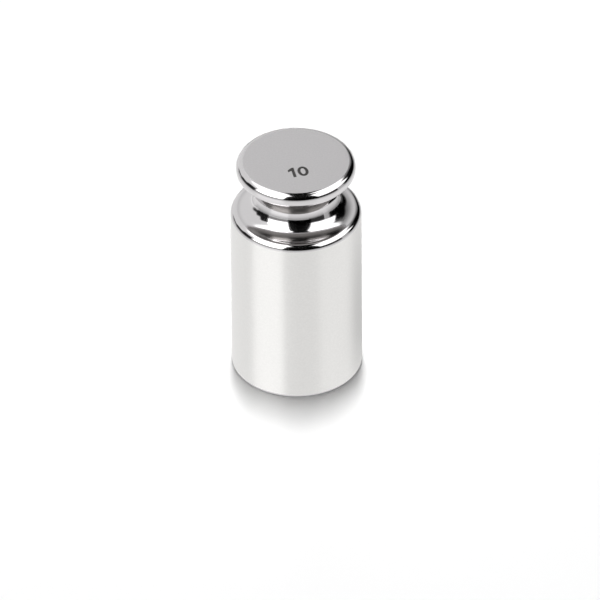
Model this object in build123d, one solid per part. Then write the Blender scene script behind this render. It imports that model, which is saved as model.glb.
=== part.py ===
from build123d import *
import os
from math import atan2, degrees, pi, sqrt

# A 10 g knob weight for testing balances, turned from one bar of stainless steel.
# Lengths are in millimetres and masses in grams. The weight stands on its base at
# Z = 0, with its axis of rotation on Z.

# What it weighs. The body is left as long as it takes to make this mass.
nominal_mass = 10.0
steel_density = 0.00799  # grams in a cubic millimetre, an austenitic stainless steel

# Body: a plain cylinder with both of its edges rounded.
body_diameter = 9.85
base_edge_radius = 0.2
shoulder_edge_radius = 0.5

# Neck: one round-bottomed groove that forceps take hold of. It turns out to the
# shoulder on a tighter arc than the one that runs up under the knob.
neck_diameter = 5.6
shoulder_groove_radius = 1.5
knob_groove_radius = 1.8

# Knob: a flat disc whose rim is rounded above and below a narrow straight band.
knob_diameter = 9.0
knob_edge_radius = 0.55
knob_rim_band = 0.1

# How far out from the axis the centres of the arcs lie.
body_radius = body_diameter / 2
knob_radius = knob_diameter / 2
neck_radius = neck_diameter / 2
base_edge_centre = body_radius - base_edge_radius
shoulder_edge_centre = body_radius - shoulder_edge_radius
shoulder_groove_centre = neck_radius + shoulder_groove_radius
knob_groove_centre = neck_radius + knob_groove_radius
knob_edge_centre = knob_radius - knob_edge_radius


def smooth_run(groove_centre, groove_radius, edge_centre, edge_radius):
    """How a hollow arc of the groove runs into the rounded edge above or below it.

    Returns the rise from one arc's centre to the other's, and the angle of the line
    between the centres, which passes through the point where the arcs touch. Where the
    edge stands further out than the groove's centre, a flat land joins them, and both
    arcs turn through a full quarter.
    """
    overhang = max(groove_centre - edge_centre, 0)
    rise = sqrt((groove_radius + edge_radius) ** 2 - overhang**2)
    return rise, degrees(atan2(rise, overhang))


shoulder_rise, shoulder_turn = smooth_run(
    shoulder_groove_centre, shoulder_groove_radius, shoulder_edge_centre, shoulder_edge_radius
)
knob_rise, knob_turn = smooth_run(
    knob_groove_centre, knob_groove_radius, knob_edge_centre, knob_edge_radius
)


def turned_weight(body_height):
    """The whole weight as one solid, with a body of this height from base to shoulder."""
    shoulder_edge_height = body_height - shoulder_edge_radius
    neck_height = shoulder_edge_height + shoulder_rise
    rim_low = neck_height + knob_rise
    rim_high = rim_low + knob_rim_band
    top_height = rim_high + knob_edge_radius

    with BuildPart() as turned:
        with BuildSketch(Plane.XZ):
            with BuildLine():
                base = Line((0, 0), (base_edge_centre, 0))
                base_edge = CenterArc(
                    (base_edge_centre, base_edge_radius), base_edge_radius, -90, 90
                )
                Line(base_edge @ 1, (body_radius, shoulder_edge_height))
                shoulder_edge = CenterArc(
                    (shoulder_edge_centre, shoulder_edge_height),
                    shoulder_edge_radius,
                    0,
                    shoulder_turn,
                )
                shoulder_groove = CenterArc(
                    (shoulder_groove_centre, neck_height),
                    shoulder_groove_radius,
                    180 + shoulder_turn,
                    -shoulder_turn,
                )
                knob_groove = CenterArc(
                    (knob_groove_centre, neck_height), knob_groove_radius, 180, -knob_turn
                )
                lower_edge = CenterArc(
                    (knob_edge_centre, rim_low), knob_edge_radius, -knob_turn, knob_turn
                )
                if shoulder_edge_centre > shoulder_groove_centre:
                    Line(shoulder_edge @ 1, shoulder_groove @ 0)
                if knob_edge_centre > knob_groove_centre:
                    Line(knob_groove @ 1, lower_edge @ 0)
                Line(lower_edge @ 1, (knob_radius, rim_high))
                upper_edge = CenterArc(
                    (knob_edge_centre, rim_high), knob_edge_radius, 0, 90
                )
                top = Line(upper_edge @ 1, (0, top_height))
                Line(top @ 1, base @ 0)
            make_face()
        revolve(axis=Axis.Z)
    return turned.part


# The turner's sum: a body as long as it is wide is tried first, and what its mass lacks
# is made up by a longer body of the same diameter.
trial = turned_weight(body_diameter)
missing_volume = nominal_mass / steel_density - trial.volume
body_height = body_diameter + missing_volume / (pi * body_radius**2)
weight = turned_weight(body_height)
weight.label = "weight"

os.makedirs("parts", exist_ok=True)
export_step(weight, "parts/weight.step")

print(f"body height {body_height:.3f} mm, overall height {weight.bounding_box().size.Z:.3f} mm")
print(f"volume {weight.volume:.2f} mm3, mass {weight.volume * steel_density:.4f} g")
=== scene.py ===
# %% [markdown]
# # A 10 g knob weight, turned and polished
#
# The weight stands on a pale table between two studio lights. It is one piece of stainless
# steel, so nearly all of its look comes from its finishes and from what they reflect: a
# mirror polish on every rounded edge and in the lower half of the groove, a fine satin left
# by the turning tool on the body's wall, and a lapped end face that carries the number 10.
#
# We load the measured solid first. It gives the place and the overall sizes of everything
# that follows.

# %% Load the frame
from math import asin, atan2, cos, pi, radians, sin, sqrt, tan

import bmesh
import bpy
from mathutils import Matrix, Vector


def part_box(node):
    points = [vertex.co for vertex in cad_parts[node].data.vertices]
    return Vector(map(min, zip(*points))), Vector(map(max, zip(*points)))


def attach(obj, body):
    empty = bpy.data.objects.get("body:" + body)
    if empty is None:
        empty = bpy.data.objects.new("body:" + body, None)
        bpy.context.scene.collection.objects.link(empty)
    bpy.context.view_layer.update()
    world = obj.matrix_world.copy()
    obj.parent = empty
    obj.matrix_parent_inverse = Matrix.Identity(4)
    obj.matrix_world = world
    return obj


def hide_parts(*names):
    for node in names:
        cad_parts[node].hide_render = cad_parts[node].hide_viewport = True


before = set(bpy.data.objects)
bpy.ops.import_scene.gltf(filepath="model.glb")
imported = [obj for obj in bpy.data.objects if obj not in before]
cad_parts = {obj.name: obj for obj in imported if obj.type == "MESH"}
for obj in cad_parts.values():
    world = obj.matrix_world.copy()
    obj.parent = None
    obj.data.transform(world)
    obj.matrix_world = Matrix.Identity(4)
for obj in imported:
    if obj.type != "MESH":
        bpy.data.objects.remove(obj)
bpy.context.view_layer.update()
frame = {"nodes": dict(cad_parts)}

print("nodes:", ", ".join(frame["nodes"]))

# %% [markdown]
# ## The outline that the lathe follows
#
# A turned part is known by half of its outline. From the base up it has a wall, a rounded
# shoulder, a hollow groove for the forceps, and a knob with a rounded rim. The solid's box
# gives the height and the body's diameter. The rest are the turner's own radii, and from
# the top down they fix the height of every centre. A maker thinks of so small a weight in
# millimetres and Blender works in metres, so one helper turns the first into the second.


# %% Millimetres
def mm(length):
    """Millimetres to metres."""
    return length * 0.001


print("1 mm is", mm(1), "m")

# %% Sizes of the weight
lowest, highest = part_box("weight")
top_height = highest[2]
body_radius = (highest[0] - lowest[0]) / 2

knob_radius = mm(9.0) / 2
knob_edge_radius = mm(0.55)
knob_rim_band = mm(0.1)
neck_radius = mm(5.6) / 2
knob_groove_radius = mm(1.8)
shoulder_groove_radius = mm(1.5)
shoulder_edge_radius = mm(0.5)
base_edge_radius = mm(0.2)

print(f"height {top_height * 1000:.2f} mm, body diameter {body_radius * 2000:.2f} mm")

# %% Centres of the arcs
knob_edge_centre = knob_radius - knob_edge_radius
knob_groove_centre = neck_radius + knob_groove_radius
shoulder_groove_centre = neck_radius + shoulder_groove_radius
shoulder_edge_centre = body_radius - shoulder_edge_radius
base_edge_centre = body_radius - base_edge_radius

rim_high = top_height - knob_edge_radius
rim_low = rim_high - knob_rim_band
knob_overhang = knob_groove_centre - knob_edge_centre
knob_rise = sqrt((knob_groove_radius + knob_edge_radius) ** 2 - knob_overhang**2)
knob_turn = atan2(knob_rise, knob_overhang)
neck_height = rim_low - knob_rise
knob_groove_top = neck_height + knob_groove_radius * sin(knob_turn)
shoulder_height = neck_height - shoulder_groove_radius
shoulder_edge_height = shoulder_height - shoulder_edge_radius

print(f"neck at {neck_height * 1000:.2f} mm, shoulder at {shoulder_height * 1000:.2f} mm")

# %% [markdown]
# ## Drawing the outline with bmesh
#
# The outline could be typed in as a list of points, but then nobody could change a radius.
# Instead we draw it as a lathe tool moves. A straight cut extrudes the last point, and an
# arc spins the last point about the arc's centre. Each straight cut gets an extra point
# close to both ends: smooth shading blends the direction of neighbouring faces, and the
# extra points keep that blend out of the flat stretches, which a polished surface would
# show at once.

# %% Straight cuts and arcs
run_in = mm(0.04)
towards_viewer = Vector((0, -1, 0))
steps_on_base_edge = 12
steps_on_rounded_edge = 24
steps_in_groove = 40


def straight_cut(mesh, start, x, z):
    """Extrudes the outline from its last point to (x, z), and returns the new last point."""
    end = Vector((x, 0, z))
    step = (end - start.co).normalized() * run_in
    for place in (start.co + step, end - step, end):
        start = bmesh.ops.extrude_vert_indiv(mesh, verts=[start])["verts"][0]
        start.co = place
    return start


def swing(mesh, start, x, z, turn, steps):
    """Spins the outline's last point about (x, z), anticlockwise where turn is positive."""
    arc = bmesh.ops.spin(
        mesh, geom=[start], cent=(x, 0, z), axis=towards_viewer, angle=turn, steps=steps
    )
    return next(item for item in arc["geom_last"] if isinstance(item, bmesh.types.BMVert))


print(f"run-in of {run_in * 1000:.2f} mm, {steps_in_groove} steps in each side of the groove")

# %% Draw half of the outline
turned = bmesh.new()
tip = turned.verts.new((0, 0, 0))
tip = straight_cut(turned, tip, base_edge_centre, 0)
tip = swing(turned, tip, base_edge_centre, base_edge_radius, pi / 2, steps_on_base_edge)
tip = straight_cut(turned, tip, body_radius, shoulder_edge_height)
tip = swing(turned, tip, shoulder_edge_centre, shoulder_edge_height, pi / 2, steps_on_rounded_edge)
tip = straight_cut(turned, tip, shoulder_groove_centre, shoulder_height)
tip = swing(turned, tip, shoulder_groove_centre, neck_height, -pi / 2, steps_in_groove)
tip = swing(turned, tip, knob_groove_centre, neck_height, -knob_turn, steps_in_groove)
tip = swing(turned, tip, knob_edge_centre, rim_low, knob_turn, steps_on_rounded_edge)
tip = straight_cut(turned, tip, knob_radius, rim_high)
tip = swing(turned, tip, knob_edge_centre, rim_high, pi / 2, steps_on_rounded_edge)
face_rim_land = 3 * run_in
tip = straight_cut(turned, tip, knob_edge_centre - face_rim_land, top_height)
print("points in the outline:", len(turned.verts))

# %% [markdown]
# ## Turning it
#
# One full spin about the upright axis makes the outline a solid of revolution. `use_merge`
# joins the last copy to the first, so there is no seam. The outline starts on the axis, and
# all its copies of that point lie on each other there, so doubles are merged before the
# faces are told which way is out. The end face is still open: the number goes in first.

# %% Spin the outline
steps_round_axis = 288
same_point = mm(0.0005)
bmesh.ops.spin(
    turned,
    geom=turned.verts[:] + turned.edges[:],
    cent=(0, 0, 0),
    axis=(0, 0, 1),
    angle=2 * pi,
    steps=steps_round_axis,
    use_merge=True,
)
bmesh.ops.remove_doubles(turned, verts=turned.verts, dist=same_point)
face_rim = [edge for edge in turned.edges if edge.is_boundary]
print("faces after turning:", len(turned.faces), "open edges round the end face:", len(face_rim))

# %% [markdown]
# ## The number on the end face
#
# The nominal mass is marked on the knob in dark, plain numerals. A marking laser cuts them a
# few hundredths of a millimetre deep and leaves the floor of the cut dark. They could be a
# picture on the face, but a real cut keeps its edge from every side. A text object would
# bring its font's shapes, and two numerals are soon drawn: the 1 is a stem with a flag, and
# the 0 is a ring between two ovals.

# %% Sizes of the numerals
numeral_height = mm(1.18)
numeral_stroke = mm(0.23)
one_flag_reach = mm(0.27)
one_flag_drop = mm(0.26)
# The flag's upper edge starts a little inside the stem's corner, and its lower edge meets
# the stem a little below the height of its tip.
one_flag_inset = 0.25 * numeral_stroke
one_flag_root = 0.45 * numeral_stroke
zero_width = mm(0.82)
zero_steps = 56
numeral_gap = mm(0.20)
numeral_depth = mm(0.03)
numeral_place = Vector((mm(0.20), mm(-1.36), top_height))
numeral_turn = radians(12)

numbers_width = one_flag_reach + numeral_stroke + numeral_gap + zero_width
half_height = numeral_height / 2
print(f"the number is {numbers_width * 1000:.2f} mm wide and {numeral_height * 1000:.2f} mm high")

# %% Draw the 1
turned_faces = set(turned.faces)
flag_left = -numbers_width / 2
stem_left = flag_left + one_flag_reach
stem_right = stem_left + numeral_stroke
flag_top = half_height - one_flag_drop
one_outline = [
    (stem_left, -half_height),
    (stem_right, -half_height),
    (stem_right, half_height),
    (stem_left + one_flag_inset, half_height),
    (flag_left, flag_top),
    (flag_left, flag_top - numeral_stroke),
    (stem_left, flag_top - one_flag_root),
]
turned.faces.new([turned.verts.new((x, y, 0)) for x, y in one_outline])
print("corners of the 1:", len(one_outline))

# %% Draw the 0
zero_centre = Matrix.Translation((numbers_width / 2 - zero_width / 2, 0, 0))
zero_edges = set()
for inward in (0, numeral_stroke):
    half_sizes = Matrix.Diagonal((zero_width / 2 - inward, half_height - inward, 1, 1))
    oval = bmesh.ops.create_circle(
        turned, segments=zero_steps, radius=1, matrix=zero_centre @ half_sizes
    )
    zero_edges.update(edge for vert in oval["verts"] for edge in vert.link_edges)
bmesh.ops.bridge_loops(turned, edges=list(zero_edges))
print("edges in the two ovals of the 0:", len(zero_edges))

# %% Lay the number on the end face
numeral_faces = [face for face in turned.faces if face not in turned_faces]
numeral_verts = list({vert for face in numeral_faces for vert in face.verts})
laid_on_face = Matrix.Translation(numeral_place) @ Matrix.Rotation(numeral_turn, 4, "Z")
bmesh.ops.transform(turned, matrix=laid_on_face, verts=numeral_verts)
numeral_outline = [edge for face in numeral_faces for edge in face.edges if edge.is_boundary]
print("faces in the numerals:", len(numeral_faces), "outline edges:", len(numeral_outline))

# %% Sink the numerals
# The five finishes, in the order in which the piece is given their materials further down.
mirror, satin, lapped, darkened, tool_finish_with_painted_shade = range(5)
sunk = bmesh.ops.extrude_face_region(turned, geom=numeral_faces)["geom"]
sunk_verts = {item for item in sunk if isinstance(item, bmesh.types.BMVert)}
bmesh.ops.translate(turned, vec=(0, 0, -numeral_depth), verts=list(sunk_verts))
bmesh.ops.delete(turned, geom=numeral_faces, context="FACES")
for face in turned.faces:
    if face not in turned_faces:
        face.material_index = darkened
print(f"cut {numeral_depth * 1000:.2f} mm deep, with {len(sunk_verts)} corners on its floor")

# %% Close the end face round the numerals
filled = bmesh.ops.triangle_fill(
    turned, use_beauty=True, use_dissolve=False, edges=face_rim + numeral_outline, normal=(0, 0, 1)
)
end_face = [item for item in filled["geom"] if isinstance(item, bmesh.types.BMFace)]
for face in end_face:
    face.material_index = lapped
sharp_edges = {edge for vert in sunk_verts for edge in vert.link_edges}.union(numeral_outline)
for edge in sharp_edges:
    edge.smooth = False
print("end face:", len(end_face), "faces; open edges left:", sum(e.is_boundary for e in turned.edges))

# %% [markdown]
# ## One piece, five finishes
#
# The outline is one line, so the finish of a face follows from its height. The wall and the
# base keep the satin of the turning tool, the end face is lapped, and the number is dark.
# The polishing wheel reaches the edges and the lower half of the groove, but not the hollow
# under the knob, which stays as the tool left it. From here on the piece stands for the
# plain solid.

# %% Give each face its finish
flat_tolerance = run_in / 10
bmesh.ops.recalc_face_normals(turned, faces=turned.faces)


def finish_at(height):
    """The finish that the turned surface has at this height."""
    if height < flat_tolerance or base_edge_radius < height < shoulder_edge_height:
        return satin
    if neck_height < height < knob_groove_top:
        return tool_finish_with_painted_shade
    if height > top_height - flat_tolerance:
        return lapped
    return mirror


for face in turned.faces:
    face.smooth = face.material_index != darkened
    if face in turned_faces:
        face.material_index = finish_at(face.calc_center_median().z)
print("mirror-polished faces:", sum(face.material_index == mirror for face in turned.faces))

# %% Make the piece
weight_mesh = bpy.data.meshes.new("knob_weight")
turned.to_mesh(weight_mesh)
closed = all(edge.is_manifold for edge in turned.edges)
print("volume:", round(turned.calc_volume() * 1e9, 1), "mm3; closed:", closed)
turned.free()
knob_weight = bpy.data.objects.new("knob_weight", weight_mesh)
bpy.context.scene.collection.objects.link(knob_weight)
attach(knob_weight, "root")
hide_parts("weight")

# %% [markdown]
# ## Mirror-polished stainless steel
#
# Polishing on a felt wheel takes the tool's grooves away and leaves a near mirror. The eye
# reads it from hard black and white reflections, and only at a second look from faint rings
# round the axis that the wheel left. We could bump the surface, but at this scale a little
# more or less roughness from ring to ring is enough.
#
# Colours are written as the hex values that a paint program shows. Shaders want linear
# light, so one helper undoes the screen's curve. Another adds a node with its settings, and
# with each input either set or linked.


# %% Colours and nodes
def linear(hex_colour):
    """A colour such as "#C0C0C0" as the linear RGBA that shaders take."""
    channels = [int(hex_colour[i : i + 2], 16) / 255 for i in (1, 3, 5)]
    return [c / 12.92 if c <= 0.04045 else ((c + 0.055) / 1.055) ** 2.4 for c in channels] + [1.0]


def add_node(tree, kind, settings=None, **inputs):
    """Adds a node. An input's name has its spaces written as underscores."""
    node = tree.nodes.new(kind)
    for name, value in (settings or {}).items():
        setattr(node, name, value)
    for name, value in inputs.items():
        socket = node.inputs[name.replace("_", " ")]
        if isinstance(value, bpy.types.NodeSocket):
            tree.links.new(value, socket)
        else:
            socket.default_value = value
    return node


print("mid grey #808080 is", round(linear("#808080")[0], 3), "in linear light")


# %% A bare finish, and rings round the axis
def new_finish(name):
    """A material with an empty node tree, its shader and its output."""
    finish = bpy.data.materials.new(name)
    finish.use_nodes = True
    tree = finish.node_tree
    tree.nodes.clear()
    shader = add_node(tree, "ShaderNodeBsdfPrincipled")
    add_node(tree, "ShaderNodeOutputMaterial", Surface=shader.outputs["BSDF"])
    return finish, tree, shader


def rings_round_axis(tree, spacing):
    """Noise that changes only outwards and upwards, so that it makes rings like a lathe's."""
    place = add_node(tree, "ShaderNodeTexCoord").outputs["Object"]
    parts = add_node(tree, "ShaderNodeSeparateXYZ", Vector=place)
    flat = add_node(tree, "ShaderNodeCombineXYZ", X=parts.outputs["X"], Y=parts.outputs["Y"])
    length = {"operation": "LENGTH"}
    out = add_node(tree, "ShaderNodeVectorMath", length, Vector=flat.outputs["Vector"])
    ring = add_node(tree, "ShaderNodeCombineXYZ", X=out.outputs["Value"], Z=parts.outputs["Z"])
    rings = add_node(
        tree, "ShaderNodeTexNoise", Vector=ring.outputs["Vector"], Scale=1 / spacing, Detail=3.0
    )
    return rings.outputs["Fac"]


def rough_steel(tree, shader, pattern, least, most):
    """Makes the shader a metal whose roughness follows the pattern."""
    rough = add_node(tree, "ShaderNodeMapRange", Value=pattern, To_Min=least, To_Max=most)
    tree.links.new(rough.outputs["Result"], shader.inputs["Roughness"])
    shader.inputs["Metallic"].default_value = 1.0


def two_tones(tree, shader, pattern, first, second):
    """Blends the shader's colour between two hex colours by the pattern."""
    blend = add_node(tree, "ShaderNodeMix", {"data_type": "RGBA"}, Factor=pattern)
    colour_inputs = [item for item in blend.inputs if item.type == "RGBA"]
    for socket, hex_colour in zip(colour_inputs, (first, second)):
        socket.default_value = linear(hex_colour)
    colour = next(item for item in blend.outputs if item.type == "RGBA")
    tree.links.new(colour, shader.inputs["Base Color"])


print("a metal's roughness and a finish's colour can now follow a pattern")

# %% Mirror-polished stainless steel
# The wheel's rings are finer than this, and are drawn as coarse as they need to show.
wheel_rings = mm(0.25)
mirror_polished, tree, shader = new_finish("mirror_polished_stainless_steel")
rough_steel(tree, shader, rings_round_axis(tree, wheel_rings), least=0.07, most=0.11)
shader.inputs["Base Color"].default_value = linear("#D6D4D5")
print(f"{mirror_polished.name}: rings every {wheel_rings * 1000:.2f} mm")

# %% [markdown]
# ## Satin-turned stainless steel
#
# The lathe's last light cut leaves fine grooves that run round the wall. Each groove is a
# tiny mirror that is rounded across and straight along, so the wall smears what it reflects
# up and down, and keeps it sharp from side to side. The eye sees soft upright bands and no
# picture. A Principled shader does this with Anisotropic and a tangent, which is the
# direction that the grooves run in: across the axis and across the way out from it, so it
# is the cross product of the two.

# %% Satin-turned stainless steel
# The grooves are about 0.05 mm apart. The grain between them is finer still, and is drawn
# as coarse as it needs to show.
groove_spacing = mm(0.05)
grain_size = mm(0.15)
satin_turned, tree, shader = new_finish("satin_turned_stainless_steel")
rough_steel(tree, shader, rings_round_axis(tree, groove_spacing), least=0.27, most=0.29)
shader.inputs["Anisotropic"].default_value = 0.85
shader.inputs["Anisotropic Rotation"].default_value = 0.25
place = add_node(tree, "ShaderNodeTexCoord").outputs["Object"]
grain = add_node(tree, "ShaderNodeTexNoise", Vector=place, Scale=1 / grain_size, Detail=4.0)
two_tones(tree, shader, grain.outputs["Fac"], "#E2E1DF", "#EEEDEB")
along_grooves = add_node(tree, "ShaderNodeVectorMath", {"operation": "CROSS_PRODUCT"})
along_grooves.inputs[0].default_value = (0, 0, 1)
tree.links.new(place, along_grooves.inputs[1])
tree.links.new(along_grooves.outputs["Vector"], shader.inputs["Tangent"])
print(f"{satin_turned.name}: grooves every {groove_spacing * 1000:.2f} mm")

# %% [markdown]
# ## Lapped stainless steel
#
# The end face is rubbed flat on a plate with fine grit, so that the number can be read from
# every side without glare. The grit has no direction. The eye sees one even grey that
# blurs what is behind it, with a grain that hardly shows.

# %% Lapped stainless steel
# Real scratches are a few hundredths of a millimetre. They are drawn as coarse as they need
# to show.
grit_size = mm(0.12)
lapped_flat, tree, shader = new_finish("lapped_stainless_steel")
place = add_node(tree, "ShaderNodeTexCoord").outputs["Object"]
grit = add_node(tree, "ShaderNodeTexNoise", Vector=place, Scale=1 / grit_size, Detail=4.0)
rough_steel(tree, shader, grit.outputs["Fac"], least=0.30, most=0.38)
two_tones(tree, shader, grit.outputs["Fac"], "#CCCACB", "#DEDCDD")
print(f"{lapped_flat.name}: grain of {grit_size * 1000:.2f} mm")

# %% [markdown]
# ## Laser-darkened stainless steel
#
# The laser melts and oxidises the floor of the cut. The eye sees a dull near black, a touch
# lighter where the beam's passes lie apart. An oxide isn't a metal to the light, so the
# shader stays a rough dielectric.

# %% Laser-darkened stainless steel
beam_width = mm(0.15)
laser_darkened, tree, shader = new_finish("laser_darkened_stainless_steel")
place = add_node(tree, "ShaderNodeTexCoord").outputs["Object"]
oxide = add_node(tree, "ShaderNodeTexNoise", Vector=place, Scale=1 / beam_width, Detail=3.0)
two_tones(tree, shader, oxide.outputs["Fac"], "#1E1C1B", "#363433")
shader.inputs["Roughness"].default_value = 0.6
print(f"{laser_darkened.name}: blotches of {beam_width * 1000:.2f} mm")

# %% [markdown]
# ## Tool-finished stainless steel, in painted shade
#
# Under the knob the wheel can't reach, so the form tool's own marks remain. They scatter
# light both ways, and the darker grey given to them is painted shade in the hollow under
# the knob. The polished half of the groove mirrors this hollow, so a mirror here would
# show there as a second, too lively picture.

# %% Tool-finished stainless steel
tool_marks = mm(0.1)
tool_left_with_painted_shade, tree, shader = new_finish("tool_finish_painted_shade_stainless_steel")
rough_steel(tree, shader, rings_round_axis(tree, tool_marks), least=0.28, most=0.34)
# The darker grey of this base colour is painted shade under the knob. The tool marks themselves are
# drawn by the roughness above.
shader.inputs["Base Color"].default_value = linear("#8A8785")
print(f"{tool_left_with_painted_shade.name}: marks every {tool_marks * 1000:.2f} mm")

# %% Put the finishes on the piece
for finish in (mirror_polished, satin_turned, lapped_flat, laser_darkened, tool_left_with_painted_shade):
    knob_weight.data.materials.append(finish)
print("finishes on the piece:", len(knob_weight.data.materials))

# %% [markdown]
# ## What the steel reflects
#
# Polished steel has no look of its own: it shows the room. Small metal parts are shown in a
# tent of white paper, with black cards that draw dark lines along the edges. Here each card
# is a part of a sphere round the neck, told by two ranges of angles. Azimuth counts from
# the front towards the right, and elevation counts up from the table. An overhead card has
# its middle at the zenith, and its two ranges count across and along. The cards glow with
# a set strength and light nothing: they show only in the steel, and the lamp further down
# does the lighting. A lamp seen by the steel could do both, but then no edge could be
# placed without changing the light on the rest.


# %% The shape of a card
card_steps_up = 32
card_steps_round = 48


def sphere_patch(azimuths, elevations, distance):
    """The part of a sphere round the origin between these angles, in radians."""
    patch = bmesh.new()
    (first, last), (low, high) = azimuths, elevations
    corner = patch.verts.new((0, -distance * cos(low), distance * sin(low)))
    bmesh.ops.spin(
        patch,
        geom=[corner],
        cent=(0, 0, 0),
        axis=(-1, 0, 0),
        angle=high - low,
        steps=card_steps_up,
    )
    bmesh.ops.rotate(patch, verts=patch.verts, matrix=Matrix.Rotation(first, 3, "Z"))
    bmesh.ops.spin(
        patch,
        geom=patch.verts[:] + patch.edges[:],
        cent=(0, 0, 0),
        axis=(0, 0, 1),
        angle=last - first,
        steps=card_steps_round,
    )
    return patch


print("a card has", card_steps_up * card_steps_round, "faces")


# %% The soft edge of a card
def soften(patch, azimuths, elevations, distance, soft_edge):
    """Writes in "cover" how solid the card is: 1 inside, down to 0 at its soft edges."""
    (first, last), (low, high) = azimuths, elevations
    cover = patch.verts.layers.float.new("cover")
    for vert in patch.verts:
        azimuth = atan2(vert.co.x, -vert.co.y)
        off_middle = (azimuth - (first + last) / 2 + pi) % (2 * pi) - pi
        elevation = asin(max(-1, min(1, vert.co.z / distance)))
        inside = ((last - first) / 2 - abs(off_middle), min(elevation - low, high - elevation))
        vert[cover] = 1
        for depth, soft in zip(inside, soft_edge):
            if soft:
                vert[cover] *= max(0, min(1, depth / soft))


print("each corner of a card keeps one number, its cover")


# %% The glow of a card
def card_glow(name, strength):
    """A plain glow that lets what is behind it through where its cover fades."""
    glow = bpy.data.materials.new(name)
    glow.use_nodes = True
    tree = glow.node_tree
    tree.nodes.clear()
    cover = add_node(tree, "ShaderNodeAttribute", {"attribute_name": "cover"}).outputs["Fac"]
    smooth = {"interpolation_type": "SMOOTHSTEP"}
    solid = add_node(tree, "ShaderNodeMapRange", smooth, Value=cover).outputs["Result"]
    light = add_node(tree, "ShaderNodeEmission", Strength=strength)
    clear = add_node(tree, "ShaderNodeBsdfTransparent")
    blend = add_node(tree, "ShaderNodeMixShader", Fac=solid)
    tree.links.new(clear.outputs["BSDF"], blend.inputs[1])
    tree.links.new(light.outputs["Emission"], blend.inputs[2])
    add_node(tree, "ShaderNodeOutputMaterial", Surface=blend.outputs["Shader"])
    return glow


print("a card's strength of 1 is white")


# %% Hanging a card
def studio_card(name, strength, azimuths, elevations, distance, soft_edge=(0, 0), overhead=False):
    """Hangs a card that only steel sees.

    All its angles are in degrees, and its distance from the neck is in metres. The two
    numbers of soft_edge say how wide its edges are at the sides, and how wide at the foot
    and the top.
    """
    azimuths, elevations, soft_edge = (
        tuple(radians(angle) for angle in pair) for pair in (azimuths, elevations, soft_edge)
    )
    patch = sphere_patch(azimuths, elevations, distance)
    soften(patch, azimuths, elevations, distance, soft_edge)
    if overhead:
        bmesh.ops.rotate(patch, verts=patch.verts, matrix=Matrix.Rotation(-pi / 2, 3, "X"))
    bmesh.ops.translate(patch, verts=patch.verts, vec=(0, 0, neck_height))
    mesh = bpy.data.meshes.new(name)
    patch.to_mesh(mesh)
    patch.free()
    mesh.shade_smooth()
    mesh.materials.append(card_glow(name, strength))
    card = bpy.data.objects.new(name, mesh)
    bpy.context.scene.collection.objects.link(card)
    card.visible_camera = False
    card.visible_diffuse = False
    card.visible_shadow = False
    print(f"{name}: strength {strength}, {distance} m away")


print("cards hang round the neck, at", round(neck_height * 1000, 2), "mm")

# %% The tent: a white ceiling and a grey back wall
# A line gives a card's name, strength, azimuths, elevations, distance and soft edges. The
# back wall darkens towards the right, over the dark card behind it.
studio_card("ceiling", 2.0, (-180, 180), (44, 89.9), 0.76, (0, 6))
studio_card("back_wall", 0.88, (142, 290), (4, 52), 0.75, (51, 4))
studio_card("dark_behind_wall", 0.1, (118, 200), (-1, 52), 0.77, (4, 4))

# %% The two softboxes
studio_card("softbox_left", 4.0, (-84, -17), (14, 70), 0.6, (5, 8))
studio_card("softbox_right", 2.0, (34, 118), (21.5, 70), 0.6, (6, 6))

# %% The black gap in front and overhead
# The tent is open in front, where one looks in, and the opening runs on over the top.
studio_card("front_gap", 0, (-25, 43), (-3, 68), 0.55, (5, 6))
studio_card("overhead_gap", 0, (-7, 20), (-45, 12), 0.5, (3, 10), overhead=True)
studio_card("overhead_gap_back", 0, (-7, 11), (-20, 49), 0.51, (3, 5), overhead=True)

# %% The dark side cards
studio_card("left_dark", 0.01, (-107, -74), (-4, 37), 0.55, (7, 6))
studio_card("left_side_dark", 0.01, (-120, -96), (-4, 25), 0.56, (6, 7))
studio_card("left_low_dark", 0.03, (-138, -106), (-1, 18), 0.71, (10, 8))
studio_card("right_dark", 0, (92, 152), (-3, 42), 0.69, (8, 5))
studio_card("right_low_dark", 0, (140, 167), (5, 28), 0.68, (7, 7))

# %% The low cards under the softboxes
studio_card("low_left", 0.3, (-82, -20), (-1, 15), 0.7, (4, 4))
studio_card("low_right", 0.04, (34, 81), (-3, 26), 0.7, (2, 4))
studio_card("low_right_side", 0.52, (80, 98), (-3, 26), 0.7, (2, 4))

# %% [markdown]
# ## The lamp
#
# One lamp does the lighting. Its shadow is short and dark at the weight's foot, and reaches
# forward further than it spreads sideways, so the lamp is long from front to back, narrow
# from side to side, and a little behind the zenith. An area lamp in the shape of an ellipse
# gives that penumbra without a second lamp. The steel doesn't see it, because the cards are
# what the steel sees.

# %% Overhead lamp
lamp_distance = 0.6
lamp_back = radians(7.5)
lamp_half_width = radians(2.3)
lamp_half_length = radians(10.5)
lamp_watts = 4.35
lamp_data = bpy.data.lights.new("overhead_lamp", "AREA")
lamp_data.shape = "ELLIPSE"
lamp_data.size = 2 * lamp_distance * tan(lamp_half_width)
lamp_data.size_y = 2 * lamp_distance * tan(lamp_half_length)
lamp_data.energy = lamp_watts
lamp = bpy.data.objects.new("overhead_lamp", lamp_data)
lamp.location = Vector((0, sin(lamp_back), cos(lamp_back))) * lamp_distance
lamp.rotation_euler = (lamp_back, 0, 0)
lamp.visible_glossy = False
lamp.visible_camera = False
bpy.context.scene.collection.objects.link(lamp)
print(f"lamp: {lamp_data.size * 1000:.0f} by {lamp_data.size_y * 1000:.0f} mm")

# %% [markdown]
# ## The table
#
# The weight stands on a table of white laminate. The lamp lights it to white, and the
# shadow stays on it. The steel sees the table from close by, where it would find its own
# shadow and too little light, so for rays from metal the table is a white sheet instead. A
# real laminate turns into a mirror where one looks along it, so a Fresnel node blends the
# sheet into a gloss at grazing angles. Close behind the weight on its right the sheet is
# greyer, which stands for the weight's own shade.

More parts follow.
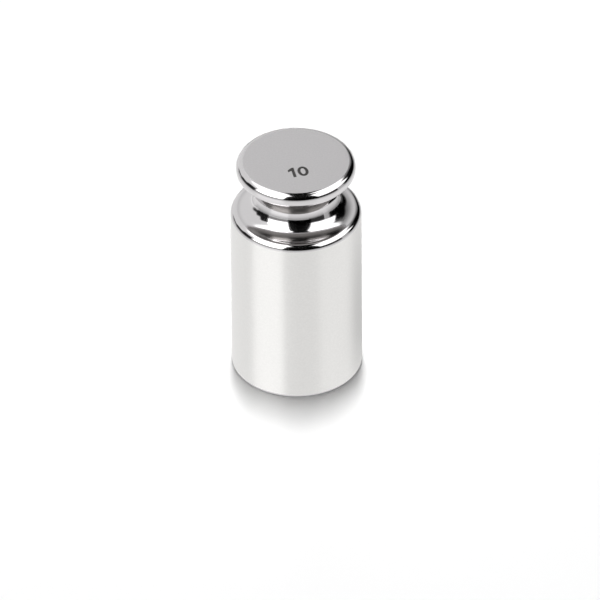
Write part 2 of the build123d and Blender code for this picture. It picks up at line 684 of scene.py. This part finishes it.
# %% Table
table_half_size = 2.0
table_mesh = bpy.data.meshes.new("table")
sheet = bmesh.new()
bmesh.ops.create_grid(sheet, x_segments=1, y_segments=1, size=table_half_size)
sheet.to_mesh(table_mesh)
sheet.free()
table = bpy.data.objects.new("table", table_mesh)
bpy.context.scene.collection.objects.link(table)
print("table:", 2 * table_half_size, "m across")


# %% Which rays see it
def ray_is(tree, *kinds):
    """1 for rays of one of these kinds, and 0 for the rest."""
    rays = add_node(tree, "ShaderNodeLightPath")
    found = rays.outputs[kinds[0]]
    for kind in kinds[1:]:
        either = add_node(tree, "ShaderNodeMath", {"operation": "MAXIMUM"})
        tree.links.new(found, either.inputs[0])
        tree.links.new(rays.outputs[kind], either.inputs[1])
        found = either.outputs["Value"]
    return found


through_metal_or_glass = ("Is Glossy Ray", "Is Transmission Ray")
print("rays that see the white sheet:", ", ".join(through_metal_or_glass))

# %% White laminate
laminate_white = "#F0F0F0"
greyest_place = (mm(9), mm(7), 0)
greyest_glow = 0.74
grey_reach = mm(3)
white_reach = mm(13)
laminate, tree, shader = new_finish("white_laminate")
shader.inputs["Base Color"].default_value = linear(laminate_white)
shader.inputs["Roughness"].default_value = 0.3
place = add_node(tree, "ShaderNodeTexCoord").outputs["Object"]
away = add_node(tree, "ShaderNodeVectorMath", {"operation": "DISTANCE"})
tree.links.new(place, away.inputs[0])
away.inputs[1].default_value = greyest_place
greyer_right = add_node(
    tree,
    "ShaderNodeMapRange",
    {"interpolation_type": "SMOOTHSTEP"},
    Value=away.outputs["Value"],
    From_Min=grey_reach,
    From_Max=white_reach,
    To_Min=greyest_glow,
    To_Max=1.0,
)
print("laminate's colour in linear light:", round(linear(laminate_white)[0], 3))

# %% What the steel sees of the laminate
white_sheet = add_node(tree, "ShaderNodeEmission", Strength=greyer_right.outputs["Result"])
gloss = add_node(tree, "ShaderNodeBsdfGlossy", Roughness=0.2)
grazing = add_node(tree, "ShaderNodeFresnel", IOR=1.5)
in_steel = add_node(tree, "ShaderNodeMixShader", Fac=grazing.outputs["Fac"])
tree.links.new(white_sheet.outputs["Emission"], in_steel.inputs[1])
tree.links.new(gloss.outputs["BSDF"], in_steel.inputs[2])
by_ray = add_node(tree, "ShaderNodeMixShader", Fac=ray_is(tree, *through_metal_or_glass))
tree.links.new(shader.outputs["BSDF"], by_ray.inputs[1])
tree.links.new(in_steel.outputs["Shader"], by_ray.inputs[2])
output = next(node for node in tree.nodes if node.type == "OUTPUT_MATERIAL")
tree.links.new(by_ray.outputs["Shader"], output.inputs["Surface"])
table_mesh.materials.append(laminate)
print("nodes in the laminate:", len(tree.nodes))

# %% [markdown]
# ## The room
#
# Past the table there is only white. The world shows as white to the camera and in the
# steel, and lights the weight by only a few hundredths of that, so that the shadow at its
# foot stays dark.

# %% White room
light_of_room = 0.025
white_room = bpy.data.worlds.new("white_room")
white_room.use_nodes = True
tree = white_room.node_tree
tree.nodes.clear()
seen = ray_is(tree, "Is Camera Ray", *through_metal_or_glass)
level = add_node(tree, "ShaderNodeMapRange", Value=seen, To_Min=light_of_room, To_Max=1.0)
air = add_node(tree, "ShaderNodeBackground", Color=(1, 1, 1, 1), Strength=level.outputs["Result"])
add_node(tree, "ShaderNodeOutputWorld", Surface=air.outputs["Background"])
bpy.context.scene.world = white_room
print("the room lights by", light_of_room, "and shows as 1")

# %% [markdown]
# ## The camera
#
# The weight is seen from the front and well above, from far enough that its upright edges
# stay nearly parallel. The lens follows from how many pixels a millimetre at the foot takes
# up, and the aim from the pixel on which the middle of the base lies. The camera leans by a
# fraction of a degree.

# %% Camera
image_width = 600
looks_down = radians(37.46)
lean = radians(0.36)
camera_distance = 1.491
pixels_per_mm = 13.234
base_centre_pixel = (296.63, 357.27)

view = Vector((0, cos(looks_down), -sin(looks_down)))
right = Vector((1, 0, 0))
up = Vector((0, sin(looks_down), cos(looks_down)))
middle_pixel = image_width / 2
shift_right = mm((middle_pixel - base_centre_pixel[0]) / pixels_per_mm)
shift_up = mm((base_centre_pixel[1] - middle_pixel) / pixels_per_mm)
aim = right * shift_right + up * shift_up
print("aims", [round(v * 1000, 2) for v in aim], "mm from the middle of the base")

# %% Lens
lens = bpy.data.cameras.new("camera")
lens.sensor_width = 36
lens.lens = pixels_per_mm * 1000 * camera_distance * lens.sensor_width / image_width
lens.clip_start = 0.01
lens.clip_end = 100
camera = bpy.data.objects.new("camera", lens)
faces_weight = Matrix((right, up, -view)).transposed().to_4x4() @ Matrix.Rotation(-lean, 4, "Z")
camera.matrix_world = Matrix.Translation(aim - view * camera_distance) @ faces_weight
bpy.context.scene.collection.objects.link(camera)
bpy.context.scene.camera = camera
bpy.context.scene.view_settings.view_transform = "Standard"
print(f"focal length {lens.lens:.0f} mm")
